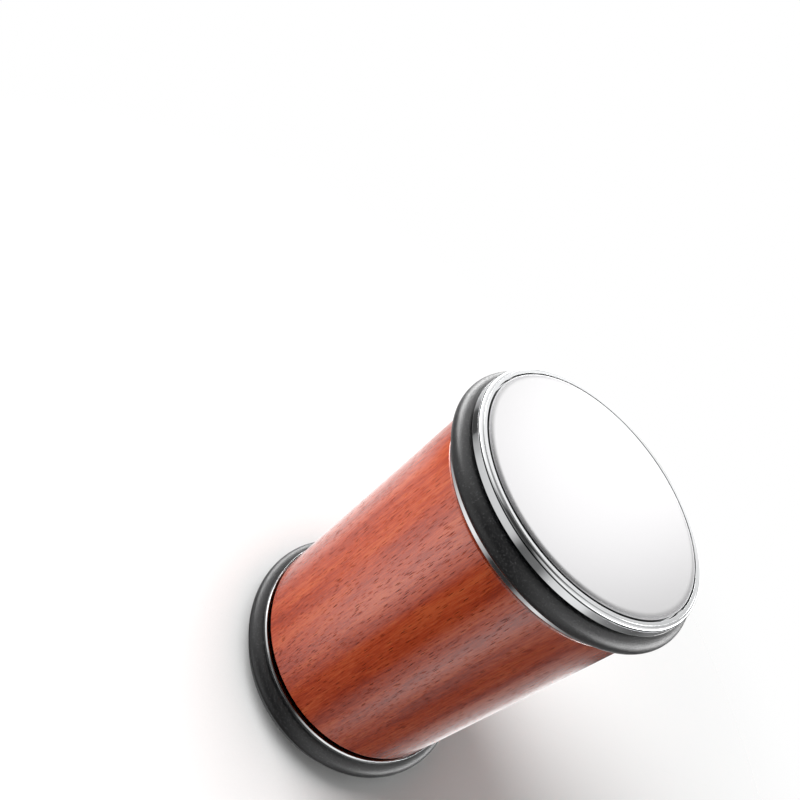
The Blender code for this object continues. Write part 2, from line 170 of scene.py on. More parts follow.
def meshFromGrid(name, grid, closedRows):
    # four-sided faces between neighbours of a grid whose columns always close into a ring
    rowCount, columnCount = grid.shape[:2]
    index = np.arange(rowCount * columnCount).reshape(rowCount, columnCount)
    nextColumn = np.roll(index, -1, 1)
    nextRow = np.roll(index, -1, 0)
    diagonal = np.roll(nextColumn, -1, 0)
    faces = np.stack([index, nextColumn, diagonal, nextRow], -1)
    if not closedRows:
        faces = faces[:-1]
    mesh = bpy.data.meshes.new(name)
    mesh.from_pydata(grid.reshape(-1, 3).tolist(), [], faces.reshape(-1, 4).tolist())
    work = bmesh.new()
    work.from_mesh(mesh)
    bmesh.ops.remove_doubles(work, verts=work.verts, dist=lathe["weld"] * mm)
    bmesh.ops.recalc_face_normals(work, faces=work.faces)
    work.to_mesh(mesh)
    work.free()
    mesh.shade_smooth()
    piece = bpy.data.objects.new(name, mesh)
    bpy.context.scene.collection.objects.link(piece)
    return piece


def dress(piece, material, body, slot, *nodes):
    # gives a piece its finish and its body, and hides the CAD nodes it stands in for
    piece.data.materials.append(material)
    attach(piece, body)
    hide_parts(*nodes)


beech = {
    "stain": "AF3F18",
    "deepStain": "922C0B",
    "paleStain": "BF5429",
    "tonePlaces": (0.39, 0.5, 0.61),  # of the deep, middle and pale stain on the pattern
    "fleck": "421503",
    "fleckSpacing": (0.22, 3.0),  # across and along the grain: beech's flecks are 1 to 3 mm long
    "fleckSize": 0.38,  # of a cell
    "fleckShare": 0.95,  # of the cells that hold a fleck
    "fleckPower": 1.2,  # above 1, more of the flecks are faint
    "fleckGloss": 0.2,  # of the lacquer's gloss, in a fleck of fleckFull or darker
    "fleckFull": 0.4,
    "fleckDepth": 0.04,
    "fleckRelief": 0.2,
    "fibreSize": (0.26, 4.5),  # real fibres are far finer, and are drawn coarse enough to show
    "figureSize": (3.0, 40.0),
    "figureShare": 0.5,  # of the tone, and the fibres have the rest
    "woodRoughness": 0.6,
    "lacquerIor": 2.0,  # lacquer has about 1.5, and this lays the pale bands on as clearly as they are seen
    "lacquerRoughness": 0.13,
}


def alongGrain(tree, coordinates, size):
    # coordinates measured in units of one size across the grain (X and Y) and another along it (Z)
    across, along = size
    scale = (1 / (across * mm), 1 / (across * mm), 1 / (along * mm))
    return addNode(tree, "ShaderNodeMapping", Vector=coordinates, Scale=scale).outputs[0]


def stainedBeech():
    # beech, turned, stained reddish brown and lacquered: short dark flecks along the grain tell the wood,
    # fine fibres run with them, and the lacquer lays soft pale bands over it
    material, tree = newMaterial("lacqueredBeech")
    coordinates = addNode(tree, "ShaderNodeTexCoord").outputs["Object"]
    fibreGrid = alongGrain(tree, coordinates, beech["fibreSize"])
    fibres = addNode(tree, "ShaderNodeTexNoise", Vector=fibreGrid, Scale=1.0, Detail=3.0, Roughness=0.6)
    figureGrid = alongGrain(tree, coordinates, beech["figureSize"])
    figure = addNode(tree, "ShaderNodeTexNoise", Vector=figureGrid, Scale=1.0, Detail=2.0, Roughness=0.5)
    tone = addNode(tree, "ShaderNodeMix", mixNumbers, _0=beech["figureShare"], _2=fibres.outputs["Fac"],
                   _3=figure.outputs["Fac"])
    ramp = addNode(tree, "ShaderNodeValToRGB", Fac=tone.outputs[0])
    stops = ramp.color_ramp.elements
    stops.new(beech["tonePlaces"][1])
    for stop, spot, stain in zip(stops, beech["tonePlaces"], ("deepStain", "stain", "paleStain")):
        stop.position = spot
        stop.color = toLinear(beech[stain])
    # flecks: the cores of some of the cells that are stretched along the grain
    fleckGrid = alongGrain(tree, coordinates, beech["fleckSpacing"])
    cells = addNode(tree, "ShaderNodeTexVoronoi", Vector=fleckGrid, Scale=1.0, Randomness=1.0)
    lot = addNode(tree, "ShaderNodeSeparateColor", Color=cells.outputs["Color"])
    core = addNode(tree, "ShaderNodeMapRange", softStep, Value=cells.outputs["Distance"],
                   _1=beech["fleckSize"], _2=beech["fleckSize"] / 2, _3=0.0, _4=1.0)
    chosen = addNode(tree, "ShaderNodeMapRange", Value=lot.outputs[0], _1=1 - beech["fleckShare"], _2=1.0)
    picked = addNode(tree, "ShaderNodeMath", {"operation": "POWER"}, _0=chosen.outputs[0],
                     _1=beech["fleckPower"])
    fleck = addNode(tree, "ShaderNodeMath", times, _0=core.outputs[0], _1=picked.outputs[0])
    colour = addNode(tree, "ShaderNodeMix", mixColours, _0=fleck.outputs[0], _6=ramp.outputs[0],
                     _7=toLinear(beech["fleck"]))
    bump = addNode(tree, "ShaderNodeBump", {"invert": True}, Height=fleck.outputs[0],
                   Strength=beech["fleckRelief"], Distance=beech["fleckDepth"] * mm)
    # the lacquer sinks into the flecks, so they mirror less
    gloss = addNode(tree, "ShaderNodeMapRange", Value=fleck.outputs[0], _1=0.0, _2=beech["fleckFull"],
                    _3=1.0, _4=beech["fleckGloss"])
    # all the gloss is the lacquer's, so the wood's own is off
    shader = addNode(tree, "ShaderNodeBsdfPrincipled", Base_Color=colour.outputs[2],
                     Roughness=beech["woodRoughness"], Specular_IOR_Level=0.0, Normal=bump.outputs[0],
                     Coat_Weight=gloss.outputs[0], Coat_Roughness=beech["lacquerRoughness"],
                     Coat_IOR=beech["lacquerIor"])
    finishMaterial(tree, shader.outputs[0])
    return material


def turningMarks(tree, coordinates, spacing):
    # noise that reads only the distance from the axis and the height, so it runs round the piece as a tool's
    # marks do
    split = addNode(tree, "ShaderNodeSeparateXYZ", Vector=coordinates)
    flat = addNode(tree, "ShaderNodeCombineXYZ", X=split.outputs["X"], Y=split.outputs["Y"])
    radius = addNode(tree, "ShaderNodeVectorMath", vectorLength, _0=flat.outputs[0]).outputs["Value"]
    section = addNode(tree, "ShaderNodeCombineXYZ", X=radius, Y=split.outputs["Z"])
    marks = addNode(tree, "ShaderNodeTexNoise", {"noise_dimensions": "2D"}, Vector=section.outputs[0],
                    Scale=1 / (spacing * mm), Detail=3.0, Roughness=0.6)
    return marks.outputs["Fac"], radius


steel = {
    "colour": "DCDDDE",
    "roughness": 0.07,
    "addedRoughness": 0.04,  # in the marks
    "anisotropy": 0.2,
    "markSpacing": 0.25,  # real feed marks are under 0.1 mm, and are drawn coarse enough to show
    "markDepth": 0.01,
    "markRelief": 0.04,
    # painted shade: the black drawn in the crevice under the bead and on the flange's back
    "paintedShade": "171718",
    "crevice": (27.88, 0.76),  # radius and depth of the corner under the bead
    "creviceReach": 0.155,
    "creviceCore": 0.6,  # of the reach, where the painted shade is full
    "backShadeRadii": (27.7, 27.0),  # from the flange's edge to where the painted shade is full
    "backShadeAtEdge": 0.55,  # of the full painted shade
    "backShadeDepth": 9.43,  # just short of the flange's back
}


def turnedSteel():
    # steel, turned on a lathe: fine marks run round the axis and draw the reflections out across them, and
    # the crevice under each lip's bead is painted with a black line of shade, and the flange's back black too
    material, tree = newMaterial("turnedSteel")
    coordinates = addNode(tree, "ShaderNodeTexCoord").outputs["Object"]
    marks, radius = turningMarks(tree, coordinates, steel["markSpacing"])
    # distance from the crevice, measured in the section: radius by depth from the nearer end
    z = addNode(tree, "ShaderNodeSeparateXYZ", Vector=coordinates).outputs["Z"]
    fromTop = addNode(tree, "ShaderNodeMath", {"operation": "SUBTRACT"}, _0=overallLength * mm, _1=z)
    depth = addNode(tree, "ShaderNodeMath", {"operation": "MINIMUM"}, _0=z, _1=fromTop.outputs[0])
    section = addNode(tree, "ShaderNodeCombineXYZ", X=radius, Y=depth.outputs[0])
    crevice = (steel["crevice"][0] * mm, steel["crevice"][1] * mm, 0)
    away = addNode(tree, "ShaderNodeVectorMath", {"operation": "DISTANCE"}, _0=section.outputs[0], _1=crevice)
    # painted shade in the crevice under the bead: black at its core, none beyond its reach
    outsideCreviceShade = addNode(tree, "ShaderNodeMapRange", Value=away.outputs["Value"],
                    _1=steel["creviceReach"] * steel["creviceCore"] * mm, _2=steel["creviceReach"] * mm)
    # the flange's back is painted black as shade too, and a little paler out at its edge
    inward = addNode(tree, "ShaderNodeMapRange", Value=radius, _1=steel["backShadeRadii"][0] * mm,
                     _2=steel["backShadeRadii"][1] * mm, _3=steel["backShadeAtEdge"], _4=1.0)
    behind = addNode(tree, "ShaderNodeMath", isAbove, _0=depth.outputs[0], _1=steel["backShadeDepth"] * mm)
    flangeBackShade = addNode(tree, "ShaderNodeMath", times, _0=inward.outputs[0], _1=behind.outputs[0])
    bright = addNode(tree, "ShaderNodeMath", {"operation": "SUBTRACT"}, _0=outsideCreviceShade.outputs[0],
                     _1=flangeBackShade.outputs[0])
    colour = addNode(tree, "ShaderNodeMix", mixColours, _0=bright.outputs[0], _6=toLinear(steel["paintedShade"]),
                     _7=toLinear(steel["colour"]))
    rough = addNode(tree, "ShaderNodeMapRange", Value=marks, _1=noiseLow, _2=noiseHigh,
                    _3=steel["roughness"], _4=steel["roughness"] + steel["addedRoughness"])
    bump = addNode(tree, "ShaderNodeBump", Height=marks, Strength=steel["markRelief"],
                   Distance=steel["markDepth"] * mm)
    tangent = addNode(tree, "ShaderNodeTangent", {"direction_type": "RADIAL", "axis": "Z"})
    shader = addNode(tree, "ShaderNodeBsdfPrincipled", Base_Color=colour.outputs[2], Metallic=1.0,
                     Roughness=rough.outputs[0], Anisotropic=steel["anisotropy"], Normal=bump.outputs[0],
                     Tangent=tangent.outputs[0])
    finishMaterial(tree, shader.outputs[0])
    return material


honing = {
    "colour": "E5E4E5",
    "edge": "BFBFC1",
    "edgeStart": 25.1,
    "edgeFull": 25.9,
    "speckle": (0.35, 1.3),  # of the edge's grey, from the palest grains to the darkest
    # painted shade: the black drawn on the disc's rim where it sits in the gap
    "paintedGapShade": "161617",
    "gapStart": 26.0,
    "gapFull": 26.05,
    "roughness": 0.17,
    "edgeRoughness": 0.3,
    "grain": 0.2,  # lapping leaves far finer grains, and these are drawn coarse enough to show at the edge
    "markSpacing": 0.5,  # and so are the marks that run round it
    "reliefDepth": 0.02,
    "relief": (0.02, 0.25),  # on the face and on the edge
}


def satinHoningSteel():
    # hardened steel, ground and lapped to an even satin; the rolled edge is left coarser, greyer and
    # speckled, and the disc's rim at the gap round it is painted black as shade
    material, tree = newMaterial("satinHoningSteel")
    coordinates = addNode(tree, "ShaderNodeTexCoord").outputs["Object"]
    marks, radius = turningMarks(tree, coordinates, honing["markSpacing"])
    grain = addNode(tree, "ShaderNodeTexNoise", Vector=coordinates, Scale=1 / (honing["grain"] * mm),
                    Detail=2.0).outputs["Fac"]
    edge = addNode(tree, "ShaderNodeMapRange", Value=radius, _1=honing["edgeStart"] * mm,
                   _2=honing["edgeFull"] * mm).outputs[0]
    speckle = addNode(tree, "ShaderNodeMapRange", Value=grain, _1=noiseLow, _2=noiseHigh,
                      _3=honing["speckle"][0], _4=honing["speckle"][1])
    edgeShade = addNode(tree, "ShaderNodeMath", times, _0=edge, _1=speckle.outputs[0])
    metal = addNode(tree, "ShaderNodeMix", mixColours, _0=edgeShade.outputs[0],
                    _6=toLinear(honing["colour"]), _7=toLinear(honing["edge"]))
    # painted shade on the disc's rim in the gap round it
    paintedGapShade = addNode(tree, "ShaderNodeMapRange", Value=radius, _1=honing["gapStart"] * mm,
                  _2=honing["gapFull"] * mm)
    colour = addNode(tree, "ShaderNodeMix", mixColours, _0=paintedGapShade.outputs[0], _6=metal.outputs[2],
                     _7=toLinear(honing["paintedGapShade"]))
    rough = addNode(tree, "ShaderNodeMix", mixNumbers, _0=edge, _2=honing["roughness"],
                    _3=honing["edgeRoughness"])
    relief = addNode(tree, "ShaderNodeMapRange", Value=edge, _1=0.0, _2=1.0, _3=honing["relief"][0],
                     _4=honing["relief"][1])
    height = addNode(tree, "ShaderNodeMath", {"operation": "ADD"}, _0=grain, _1=marks)
    bump = addNode(tree, "ShaderNodeBump", Height=height.outputs[0], Strength=relief.outputs[0],
                   Distance=honing["reliefDepth"] * mm)
    shader = addNode(tree, "ShaderNodeBsdfPrincipled", Base_Color=colour.outputs[2], Metallic=1.0,
                     Roughness=rough.outputs[0], Normal=bump.outputs[0])
    finishMaterial(tree, shader.outputs[0])
    return material


grit = {
    "bond": "84878A",
    "crystal": "C9CCD0",
    "size": 0.28,  # the grains are about 0.05 mm, and are drawn coarse enough to show
    "crystalFrom": 0.6,  # of all grains, those above this share turn brighter
    "metallic": 0.85,
    "roughness": (0.3, 0.65),
    "reliefDepth": 0.06,
    "relief": 0.5,
}


def diamondGrit():
    # diamond grit in a nickel bond: dull grey with bright points
    material, tree = newMaterial("diamondGrit")
    coordinates = addNode(tree, "ShaderNodeTexCoord").outputs["Object"]
    cells = addNode(tree, "ShaderNodeTexVoronoi", Vector=coordinates, Scale=1 / (grit["size"] * mm))
    lot = addNode(tree, "ShaderNodeSeparateColor", Color=cells.outputs["Color"])
    bright = addNode(tree, "ShaderNodeMapRange", Value=lot.outputs[0], _1=grit["crystalFrom"], _2=1.0)
    colour = addNode(tree, "ShaderNodeMix", mixColours, _0=bright.outputs[0], _6=toLinear(grit["bond"]),
                     _7=toLinear(grit["crystal"]))
    rough = addNode(tree, "ShaderNodeMapRange", Value=lot.outputs[1], _1=0.0, _2=1.0,
                    _3=grit["roughness"][0], _4=grit["roughness"][1])
    bump = addNode(tree, "ShaderNodeBump", {"invert": True}, Height=cells.outputs["Distance"],
                   Strength=grit["relief"], Distance=grit["reliefDepth"] * mm)
    shader = addNode(tree, "ShaderNodeBsdfPrincipled", Base_Color=colour.outputs[2],
                     Metallic=grit["metallic"], Roughness=rough.outputs[0], Normal=bump.outputs[0])
    finishMaterial(tree, shader.outputs[0])
    return material


rubber = {
    "colour": "0B0B0C",
    "dust": "3C3C3D",
    "dustFrom": 0.55,  # of the grain's height, where dust starts to lie
    "dustFull": 0.75,
    "grain": 0.38,  # moulded pimples are about 0.1 mm, and are drawn coarse enough to show
    "reliefDepth": 0.05,
    "relief": 0.8,
    "roughness": (0.3, 0.5),
    "ior": 1.55,
}


def tyreRubber():
    # black rubber, moulded and tumbled: a satin skin with a fine pimpled grain that breaks the highlights up
    material, tree = newMaterial("tyreRubber")
    coordinates = addNode(tree, "ShaderNodeTexCoord").outputs["Object"]
    grain = addNode(tree, "ShaderNodeTexNoise", Vector=coordinates, Scale=1 / (rubber["grain"] * mm),
                    Detail=3.0, Roughness=0.6).outputs["Fac"]
    dust = addNode(tree, "ShaderNodeMapRange", Value=grain, _1=rubber["dustFrom"], _2=rubber["dustFull"])
    colour = addNode(tree, "ShaderNodeMix", mixColours, _0=dust.outputs[0], _6=toLinear(rubber["colour"]),
                     _7=toLinear(rubber["dust"]))
    rough = addNode(tree, "ShaderNodeMapRange", Value=grain, _1=noiseLow, _2=noiseHigh,
                    _3=rubber["roughness"][0], _4=rubber["roughness"][1])
    bump = addNode(tree, "ShaderNodeBump", Height=grain, Strength=rubber["relief"],
                   Distance=rubber["reliefDepth"] * mm)
    shader = addNode(tree, "ShaderNodeBsdfPrincipled", Base_Color=colour.outputs[2],
                     Roughness=rough.outputs[0], Normal=bump.outputs[0], IOR=rubber["ior"])
    finishMaterial(tree, shader.outputs[0])
    return material


# two nylons from one kind of mould, whose grain of about 0.1 mm is drawn coarse enough to show
nylon = {"ior": 1.53, "reliefDepth": 0.03, "relief": 0.2, "scatterDepth": 0.4}
blackNylon = {"colour": "1A1A1B", "grain": 0.25, "roughness": (0.44, 0.58), "scatter": 0.0}
cageNylon = {"colour": "D9CFB4", "grain": 0.3, "roughness": (0.39, 0.53), "scatter": 0.3}


def mouldedNylon(name, look):
    # nylon, injection moulded against a spark-eroded mould: an even matt skin with a fine grain
    material, tree = newMaterial(name)
    coordinates = addNode(tree, "ShaderNodeTexCoord").outputs["Object"]
    grain = addNode(tree, "ShaderNodeTexNoise", Vector=coordinates, Scale=1 / (look["grain"] * mm),
                    Detail=2.0).outputs["Fac"]
    rough = addNode(tree, "ShaderNodeMapRange", Value=grain, _1=noiseLow, _2=noiseHigh,
                    _3=look["roughness"][0], _4=look["roughness"][1])
    bump = addNode(tree, "ShaderNodeBump", Height=grain, Strength=nylon["relief"],
                   Distance=nylon["reliefDepth"] * mm)
    shader = addNode(tree, "ShaderNodeBsdfPrincipled", Base_Color=toLinear(look["colour"]),
                     Roughness=rough.outputs[0], Normal=bump.outputs[0], IOR=nylon["ior"],
                     Subsurface_Weight=look["scatter"], Subsurface_Scale=nylon["scatterDepth"] * mm)
    finishMaterial(tree, shader.outputs[0])
    return material


bearingSteel = {
    "colour": "B9BBBE",
    "roughness": (0.08, 0.16),
    "markSpacing": 0.12,  # real grinding lines are far finer, and are drawn coarse enough to show
    "markDepth": 0.005,
    "markRelief": 0.05,
}


def groundBearingSteel():
    # chrome bearing steel, ground and polished: close to a mirror, with the faintest grinding lines
    material, tree = newMaterial("groundBearingSteel")
    coordinates = addNode(tree, "ShaderNodeTexCoord").outputs["Object"]
    marks, _ = turningMarks(tree, coordinates, bearingSteel["markSpacing"])
    rough = addNode(tree, "ShaderNodeMapRange", Value=marks, _1=noiseLow, _2=noiseHigh,
                    _3=bearingSteel["roughness"][0], _4=bearingSteel["roughness"][1])
    bump = addNode(tree, "ShaderNodeBump", Height=marks, Strength=bearingSteel["markRelief"],
                   Distance=bearingSteel["markDepth"] * mm)
    shader = addNode(tree, "ShaderNodeBsdfPrincipled", Base_Color=toLinear(bearingSteel["colour"]),
                     Metallic=1.0, Roughness=rough.outputs[0], Normal=bump.outputs[0])
    finishMaterial(tree, shader.outputs[0])
    return material


finishes = {
    "stained_beech": stainedBeech(),
    "turned_steel": turnedSteel(),
    "honing_steel": satinHoningSteel(),
    "diamond_grit": diamondGrit(),
    "rubber": tyreRubber(),
    "black_nylon": mouldedNylon("blackMouldedNylon", blackNylon),
    "bearing_steel": groundBearingSteel(),
    "cage_nylon": mouldedNylon("naturalMouldedNylon", cageNylon),
}
slotOfNode = {row["node"]: row["material_slot"] for row in frame["record"]["subparts"]}
for nodeName, node in frame["nodes"].items():
    node.data.materials.clear()
    node.data.materials.append(finishes[slotOfNode[nodeName]])
print("finishes made:", len(finishes))


# Turned pieces, from the sharpening face (depth 0) inwards. Each corner is radius, depth, rounding.

barrel = {
    "radius": 27.4,
    "lowerEnd": 10.5,
    "upperEnd": 9.8,
    "edgeRounding": 0.5,
    "bore": 6.95,
    "cupBore": 13.8,
    "cupDepth": 20.24,
    "rebate": 25.7,
    "rebateDepth": 11.0,
}


def woodCorners():
    # a straight tube with a rebate and a cup's seat at each end: the lower end from the bore out, then the
    # upper end from the outside in
    b = barrel

    def end(woodEnd):
        return np.array([
            (b["bore"], b["cupDepth"], 0.1),
            (b["cupBore"], b["cupDepth"], 0.1),
            (b["cupBore"], b["rebateDepth"], 0.1),
            (b["rebate"], b["rebateDepth"], 0.1),
            (b["rebate"], woodEnd, 0.15),
            (b["radius"], woodEnd, b["edgeRounding"]),
        ])

    upper = end(b["upperEnd"])[::-1] * (1, -1, 1) + (0, overallLength, 0)
    return np.concatenate([end(b["lowerEnd"]), upper])


disc = {"radius": 26.12, "thickness": 1.3, "edgeStart": 24.7, "edgeDrop": 0.26, "backRounding": 0.1}


def discCorners():
    # flat face, a quarter of an ellipse over the edge, a short wall and the flat back
    share = np.linspace(0, math.pi / 2, lathe["bendPoints"])
    radii = disc["edgeStart"] + (disc["radius"] - disc["edgeStart"]) * np.sin(share)
    depths = disc["edgeDrop"] * (1 - np.cos(share))
    edge = [(r, z, lathe["fineRounding"]) for r, z in zip(radii, depths)]
    wall = (disc["radius"], disc["thickness"], disc["backRounding"])
    return [(0, 0, 0), *edge, wall, (0, disc["thickness"], 0)]


wheel = {
    "recess": 26.42,
    "landEdge": 27.07,
    "valley": 27.13,
    "valleyDepth": 0.08,
    "beadStart": 27.2,
    "bead": 27.87,
    "beadDrop": 0.5,
    "undercut": 27.8,
    "undercutDepth": 0.75,
    "wall": 27.99,
    "wallDepth": 0.82,
    "rim": 28.19,
    "lip": 0.19,
    "grooveFront": 2.35,
    "grooveBack": 8.15,
    "grooveFloor": 25.3,
    "flange": 27.9,
    "flangeSide": 9.1,
    "chamfer": 27.7,
    "back": 9.44,
    "boss": 5.55,
    "bossEnd": 10.55,
    "bore": 4.3,
    "carrierRecess": 23.8,
    "discSeat": 1.6,
    "recessFloor": 4.4,
}


def wheelCorners():
    # recess for the disc, a flat land, a fine valley, a bead of a quarter ellipse, the rim's wall, the tyre's
    # groove, the flange with its bevel, and the boss round the bore
    w = wheel
    share = np.linspace(0, math.pi / 2, lathe["bendPoints"])
    radii = w["beadStart"] + (w["bead"] - w["beadStart"]) * np.sin(share)
    depths = w["lip"] + w["beadDrop"] * (1 - np.cos(share))
    return [
        (w["bore"], w["recessFloor"], 0.15),
        (w["carrierRecess"], w["recessFloor"], 0.2),
        (w["carrierRecess"], w["discSeat"], 0.1),
        (w["recess"], w["discSeat"], 0.1),
        (w["recess"], w["lip"], 0.06),
        (w["landEdge"], w["lip"], 0.03),
        (w["valley"], w["lip"] + w["valleyDepth"], lathe["fineRounding"]),
        *[(r, z, lathe["fineRounding"]) for r, z in zip(radii, depths)],
        (w["undercut"], w["undercutDepth"], 0.03),
        (w["wall"], w["wallDepth"], 0.07),
        (w["rim"], w["grooveFront"], 0.12),
        (w["grooveFloor"], w["grooveFront"], 0.15),
        (w["grooveFloor"], w["grooveBack"], 0.15),
        (w["flange"], w["grooveBack"], 0.1),
        (w["flange"], w["flangeSide"], 0.06),
        (w["chamfer"], w["back"], 0.05),
        (w["boss"], w["back"], 0.2),
        (w["boss"], w["bossEnd"], 0.15),
        (w["bore"], w["bossEnd"], 0.15),
    ]


tyre = {
    "radius": 29.99,
    "base": 25.6,
    "crownHeight": 2.9,
    "front": 2.95,
    "back": 7.86,
    "squareness": 2.15,
    "baseRounding": 0.2,
}


def tyreCorners():
    # straight sides under half a superellipse: across and up, sine and cosine are raised to 2 / squareness
    t = tyre
    share = np.linspace(-math.pi / 2, math.pi / 2, lathe["crownPoints"])
    power = 2 / t["squareness"]
    across = np.sign(share) * np.abs(np.sin(share)) ** power
    up = np.maximum(np.cos(share), 0) ** power
    depths = (t["front"] + t["back"]) / 2 + (t["back"] - t["front"]) / 2 * across
    radii = t["radius"] - t["crownHeight"] + t["crownHeight"] * up
    crown = [(r, z, lathe["fineRounding"]) for r, z in zip(radii, depths)]
    return [(t["base"], t["front"], t["baseRounding"]), *crown, (t["base"], t["back"], t["baseRounding"])]


cup = {
    "seat": 11.3,
    "flange": 25.4,
    "front": 9.8,
    "flangeBack": 10.7,
    "outside": 13.5,
    "back": 19.94,
    "shoulder": 9.3,
    "shoulderFront": 18.94,
}


def cupCorners():
    # a short sleeve with a wide flange in front and a shoulder inside its back end
    c = cup
    return [
        (c["seat"], c["front"], 0.3),
        (c["flange"], c["front"], 0.15),
        (c["flange"], c["flangeBack"], 0.1),
        (c["outside"], c["flangeBack"], 0.2),
        (c["outside"], c["back"], 0.3),
        (c["shoulder"], c["back"], 0.1),
        (c["shoulder"], c["shoulderFront"], 0.1),
        (c["seat"], c["shoulderFront"], 0.1),
    ]


dress(turned("woodBarrel", woodCorners()), finishes["stained_beech"], "grip", "stained_beech", "wood_barrel")
for end, discName, discSlot in (("lower", "diamond", "diamond_grit"), ("upper", "honing", "honing_steel")):
    upper = end == "upper"
    fine = lathe["fineSteps"]
    dress(turned(discName + "Disc", discCorners(), closed=False, upper=upper, steps=fine),
          finishes[discSlot], "wheelset", discSlot, discName + "_disc")
    dress(turned(end + "Wheel", wheelCorners(), upper=upper),
          finishes["turned_steel"], "wheelset", "turned_steel", end + "_wheel")
    dress(turned(end + "Tyre", tyreCorners(), upper=upper, steps=fine),
          finishes["rubber"], "wheelset", "rubber", end + "_tyre")
    dress(turned(end + "BearingCup", cupCorners(), upper=upper),
          finishes["black_nylon"], "grip", "black_nylon", end + "_bearing_cup")
print("turned pieces made")


# Levels are 1 for white. Directions are compass degrees from +X towards +Y, and the camera stands at -90.
studio = {
    "floorColour": "F7F7F6",
    "floorHalfSize": 6000,
    "floorDrop": 0.1,  # the gap that keeps it clear of the lower disc
    "floorReach": (90, 200),  # from here to there it fades into the white
    "floorGlow": 0.05,
    "shadowReach": 42,
    "shadowDepth": 0.8,
    "shadowSamples": 16,
    # what the grip mirrors, 38 degrees or more below the horizon
    "deepRamp": [
        (-180, 0.45), (-162, 0.5), (-146, 0.8), (-132, 1.1), (-116, 1.2), (-102, 0.62), (-88, 0.03),
        (-66, 0.02), (-52, 0.4), (-36, 0.95), (-20, 0.3), (-2, 0.08), (12, 0.12), (30, 0.5), (46, 0.85),
        (62, 1.5), (110, 1.4), (132, 1.1), (150, 0.95), (166, 0.52),
    ],
    # what the rims' walls mirror, 21 to 24 degrees below it
    "lowRamp": [
        (-180, 0.3), (-168, 0.55), (-153, 0.8), (-117, 0.84), (-99, 0.76), (-84, 0.16), (-68, 0.2),
        (-50, 0.9), (-38, 1.05), (-27, 0.98), (-14, 0.42), (0, 0.24), (25, 0.14), (42, 0.22), (58, 0.12),
        (78, 0.15), (94, 1.0), (118, 0.95), (136, 0.75), (147, 0.45), (158, 0.08), (171, 0.07),
    ],
    # what the lips and the tyres' shoulders mirror, above it
    "highRamp": [
        (-180, 1.3), (-152, 1.3), (-136, 0.8), (-121, 0.1), (-97, 0.06), (-80, 0.06), (-64, 0.6),
        (-48, 1.2), (20, 1.1), (50, 0.9), (64, 0.62), (80, 0.58), (90, 0.62), (102, 0.75), (112, 1.0),
        (122, 1.25),
    ],
    "nadirLevel": 0.1,
    "zenithLevel": 0.45,
    # between these heights of the direction's Z one of them goes over into the next
    "nadirToDeep": (-0.88, -0.72),
    "deepToLow": (-0.635, -0.595),
    "lowToHigh": (-0.15, 0.1),
    "highToZenith": (0.85, 0.97),
    # soft ovals over those, the last on top: the panel that whitens the disc, low ones all round the back
    # for the lips and tyres, the dark gap above them, and the camera's dark boom and stand
    "panels": [
        {"azimuth": 92.5, "elevation": 26, "halfWidth": 11, "halfHeight": 14, "softness": 0.6, "level": 1.36},
        {"azimuth": 97, "elevation": -2, "halfWidth": 31, "halfHeight": 15, "softness": 0.3, "level": 2.6},
        {"azimuth": 22, "elevation": 6, "halfWidth": 38, "halfHeight": 11, "softness": 0.4, "level": 9.0},
        {"azimuth": 156, "elevation": 4, "halfWidth": 38, "halfHeight": 12, "softness": 0.4, "level": 11.0},
        {"azimuth": 98, "elevation": 60, "halfWidth": 21, "halfHeight": 19, "softness": 0.3, "level": 0.25},
        {"azimuth": -103, "elevation": 84, "halfWidth": 12.5, "halfHeight": 48, "softness": 0.2, "level": 0.05},
        {"azimuth": -94, "elevation": -4, "halfWidth": 12, "halfHeight": 9, "softness": 0.2, "level": 0.05},
    ],
    # even light for matt surfaces
    "fillRamp": [
        (-180, 0.44), (-140, 0.44), (-105, 0.28), (-80, 0.18), (-40, 0.26), (20, 0.24), (90, 0.35),
        (150, 0.44),
    ],
    "zenithFill": 0.42,
    "fillToZenith": (0.5, 0.9),
}


def rampOf(tree, stops, compass):
    # level by compass direction; a ramp holds 1 at most, so its stops are shares of the brightest one
    brightest = max(level for _, level in stops)
    ramp = addNode(tree, "ShaderNodeValToRGB", Fac=compass)
    ramp.color_ramp.interpolation = "EASE"
    elements = ramp.color_ramp.elements
    for element, (degrees, level) in zip((elements[0], elements[1]), (stops[0], stops[-1])):
        element.position = (degrees + 180) / 360
        element.color = (level / brightest,) * 3 + (1,)
    for degrees, level in stops[1:-1]:
        elements.new((degrees + 180) / 360).color = (level / brightest,) * 3 + (1,)
    return addNode(tree, "ShaderNodeMath", times, _0=ramp.outputs[0], _1=brightest).outputs[0]


def blend(tree, height, span, below, above):
    # goes softly from one level to another between two heights of the direction's Z
    rise = addNode(tree, "ShaderNodeMapRange", softStep, Value=height, _1=span[0], _2=span[1])
    return addNode(tree, "ShaderNodeMix", mixNumbers, _0=rise.outputs[0], _2=below, _3=above).outputs[0]


